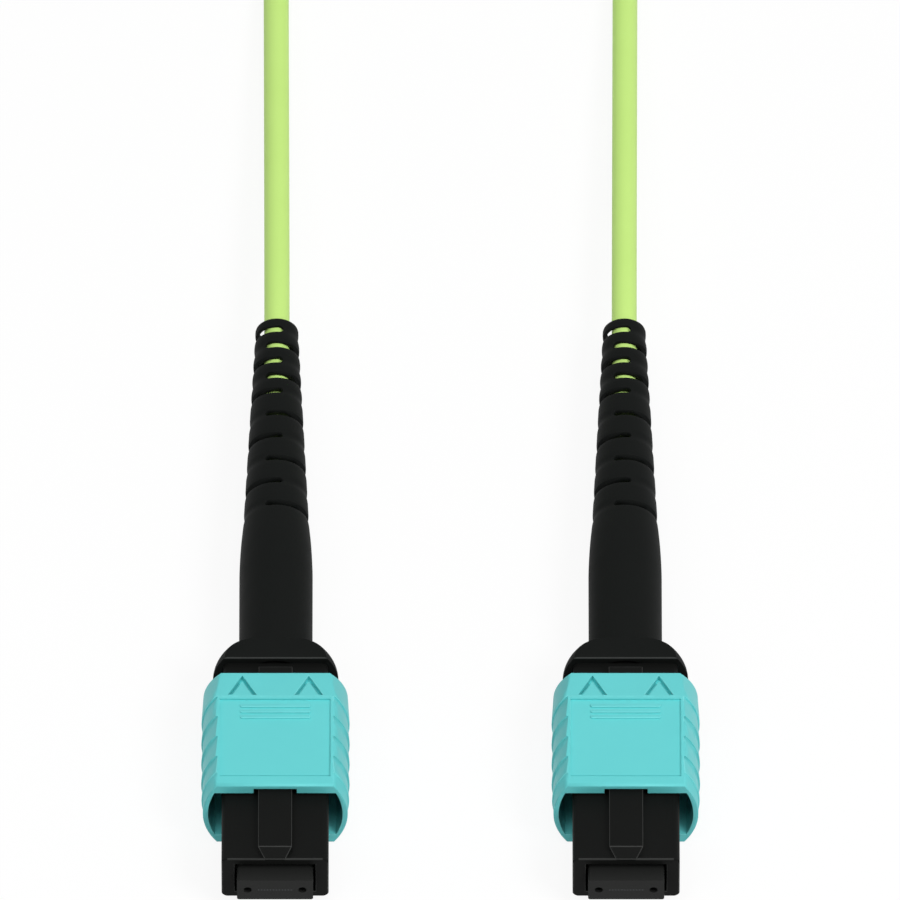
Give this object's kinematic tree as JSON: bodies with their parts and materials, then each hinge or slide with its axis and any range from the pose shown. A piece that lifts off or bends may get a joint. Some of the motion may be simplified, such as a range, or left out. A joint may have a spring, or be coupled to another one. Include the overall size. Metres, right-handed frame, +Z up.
{
  "type": "fibre optic patch cable",
  "caption": "Patch cable with a multi-fibre push-on plug at each end: sliding sleeve, keyed plug frame, floating ferrule, slotted strain relief boot and a coiled round cable.",
  "frame": {"origin": "on the floor, midway between the two plugs and midway along them", "axes": "+X from plug a to plug b, +Y from the ferrules towards the cable, +Z up from the floor"},
  "size_m": [0.042, 0.1442, 0.0077],
  "materials": {
    "ferrule": "fine ground",
    "frame": "smooth moulded",
    "sleeve": "smooth moulded",
    "boot": "matte moulded",
    "spring": "drawn wire",
    "ring": "drawn",
    "yarn": "loose fibres",
    "ribbon": "coated fibres",
    "cable": "smooth extruded jacket",
    "strap": "hook-and-loop"
  },
  "bodies": {
    "cable_and_plugs": {"cable_coil": "cable", "coil_tie": "strap", "ferrule_spring_a": "spring", "coupling_spring_left_a": "spring", "coupling_spring_right_a": "spring", "plug_frame_a": "frame", "back_post_a": "frame", "aramid_yarn_a": "yarn", "crimp_ring_a": "ring", "strain_relief_boot_a": "boot", "cable_lead_a": "cable", "ferrule_spring_b": "spring", "coupling_spring_left_b": "spring", "coupling_spring_right_b": "spring", "plug_frame_b": "frame", "back_post_b": "frame", "aramid_yarn_b": "yarn", "crimp_ring_b": "ring", "strain_relief_boot_b": "boot", "cable_lead_b": "cable"},
    "sleeve_a": {"coupling_sleeve_a": "sleeve"},
    "ferrule_unit_a": {"ferrule_a": "ferrule", "fibre_ribbon_a": "ribbon", "ferrule_sock_a": "boot", "pin_keeper_a": "frame"},
    "sleeve_b": {"coupling_sleeve_b": "sleeve"},
    "ferrule_unit_b": {"ferrule_b": "ferrule", "fibre_ribbon_b": "ribbon", "ferrule_sock_b": "boot", "pin_keeper_b": "frame"}
  },
  "joints": [
    {"name": "sleeve_slide_a", "type": "slide", "parent": "cable_and_plugs", "child": "sleeve_a", "axis": [0, 1, 0], "range_m": [0, 0.0016], "stiffness_N_per_m": 600, "springref_m": -0.003, "deforming": ["coupling_spring_left_a", "coupling_spring_right_a"]},
    {"name": "ferrule_slide_a", "type": "slide", "parent": "cable_and_plugs", "child": "ferrule_unit_a", "axis": [0, 1, 0], "range_m": [0, 0.001], "stiffness_N_per_m": 2000, "springref_m": -0.004, "deforming": ["ferrule_spring_a"]},
    {"name": "sleeve_slide_b", "type": "slide", "parent": "cable_and_plugs", "child": "sleeve_b", "axis": [0, 1, 0], "range_m": [0, 0.0016], "stiffness_N_per_m": 600, "springref_m": -0.003, "deforming": ["coupling_spring_left_b", "coupling_spring_right_b"]},
    {"name": "ferrule_slide_b", "type": "slide", "parent": "cable_and_plugs", "child": "ferrule_unit_b", "axis": [0, 1, 0], "range_m": [0, 0.001], "stiffness_N_per_m": 2000, "springref_m": -0.004, "deforming": ["ferrule_spring_b"]}
  ]
}
